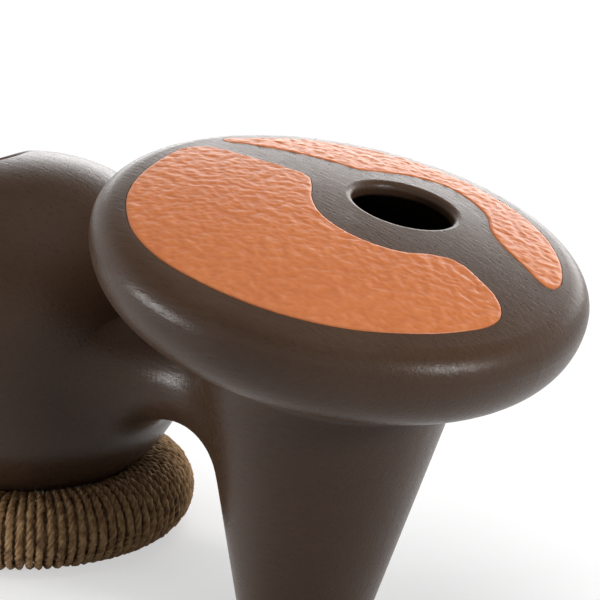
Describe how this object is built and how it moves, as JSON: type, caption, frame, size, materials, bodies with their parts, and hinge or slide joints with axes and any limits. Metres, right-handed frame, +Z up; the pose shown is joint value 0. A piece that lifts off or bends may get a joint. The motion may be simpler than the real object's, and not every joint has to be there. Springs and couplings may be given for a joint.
{
  "type": "udu drum",
  "caption": "Saddle-shaped clay udu drum: round pot in a loose straw ring, bridged by a tube to a hollow leg with a leaning discus head, off-centre sound hole and rough playing pads.",
  "frame": {"origin": "on the floor, in the middle of the drum's length and width", "axes": "+X from the pot to the head along the drum's length, +Y away from the player, +Z up"},
  "size_m": [0.4138, 0.24, 0.2218],
  "materials": {
    "dark_clay": "satin",
    "orange_pad": "matte",
    "straw": "matte"
  },
  "bodies": {
    "straw_ring": {"straw_core": "straw", "straw_wrap_1": "straw", "straw_wrap_2": "straw", "straw_wrap_3": "straw", "straw_wrap_4": "straw", "straw_wrap_5": "straw", "straw_wrap_6": "straw"},
    "drum": {"pot_bowl": "dark_clay", "pot_shoulder": "dark_clay", "bridge_tube": "dark_clay", "stem": "dark_clay", "head_bowl": "dark_clay", "head_plate": "dark_clay", "front_playing_pad": "orange_pad", "rear_playing_pad": "orange_pad"}
  },
  "joints": [
    {"name": "lift_off_ring", "type": "slide", "parent": "straw_ring", "child": "drum", "axis": [0, 0, 1], "range_m": [0, 0.15]}
  ]
}
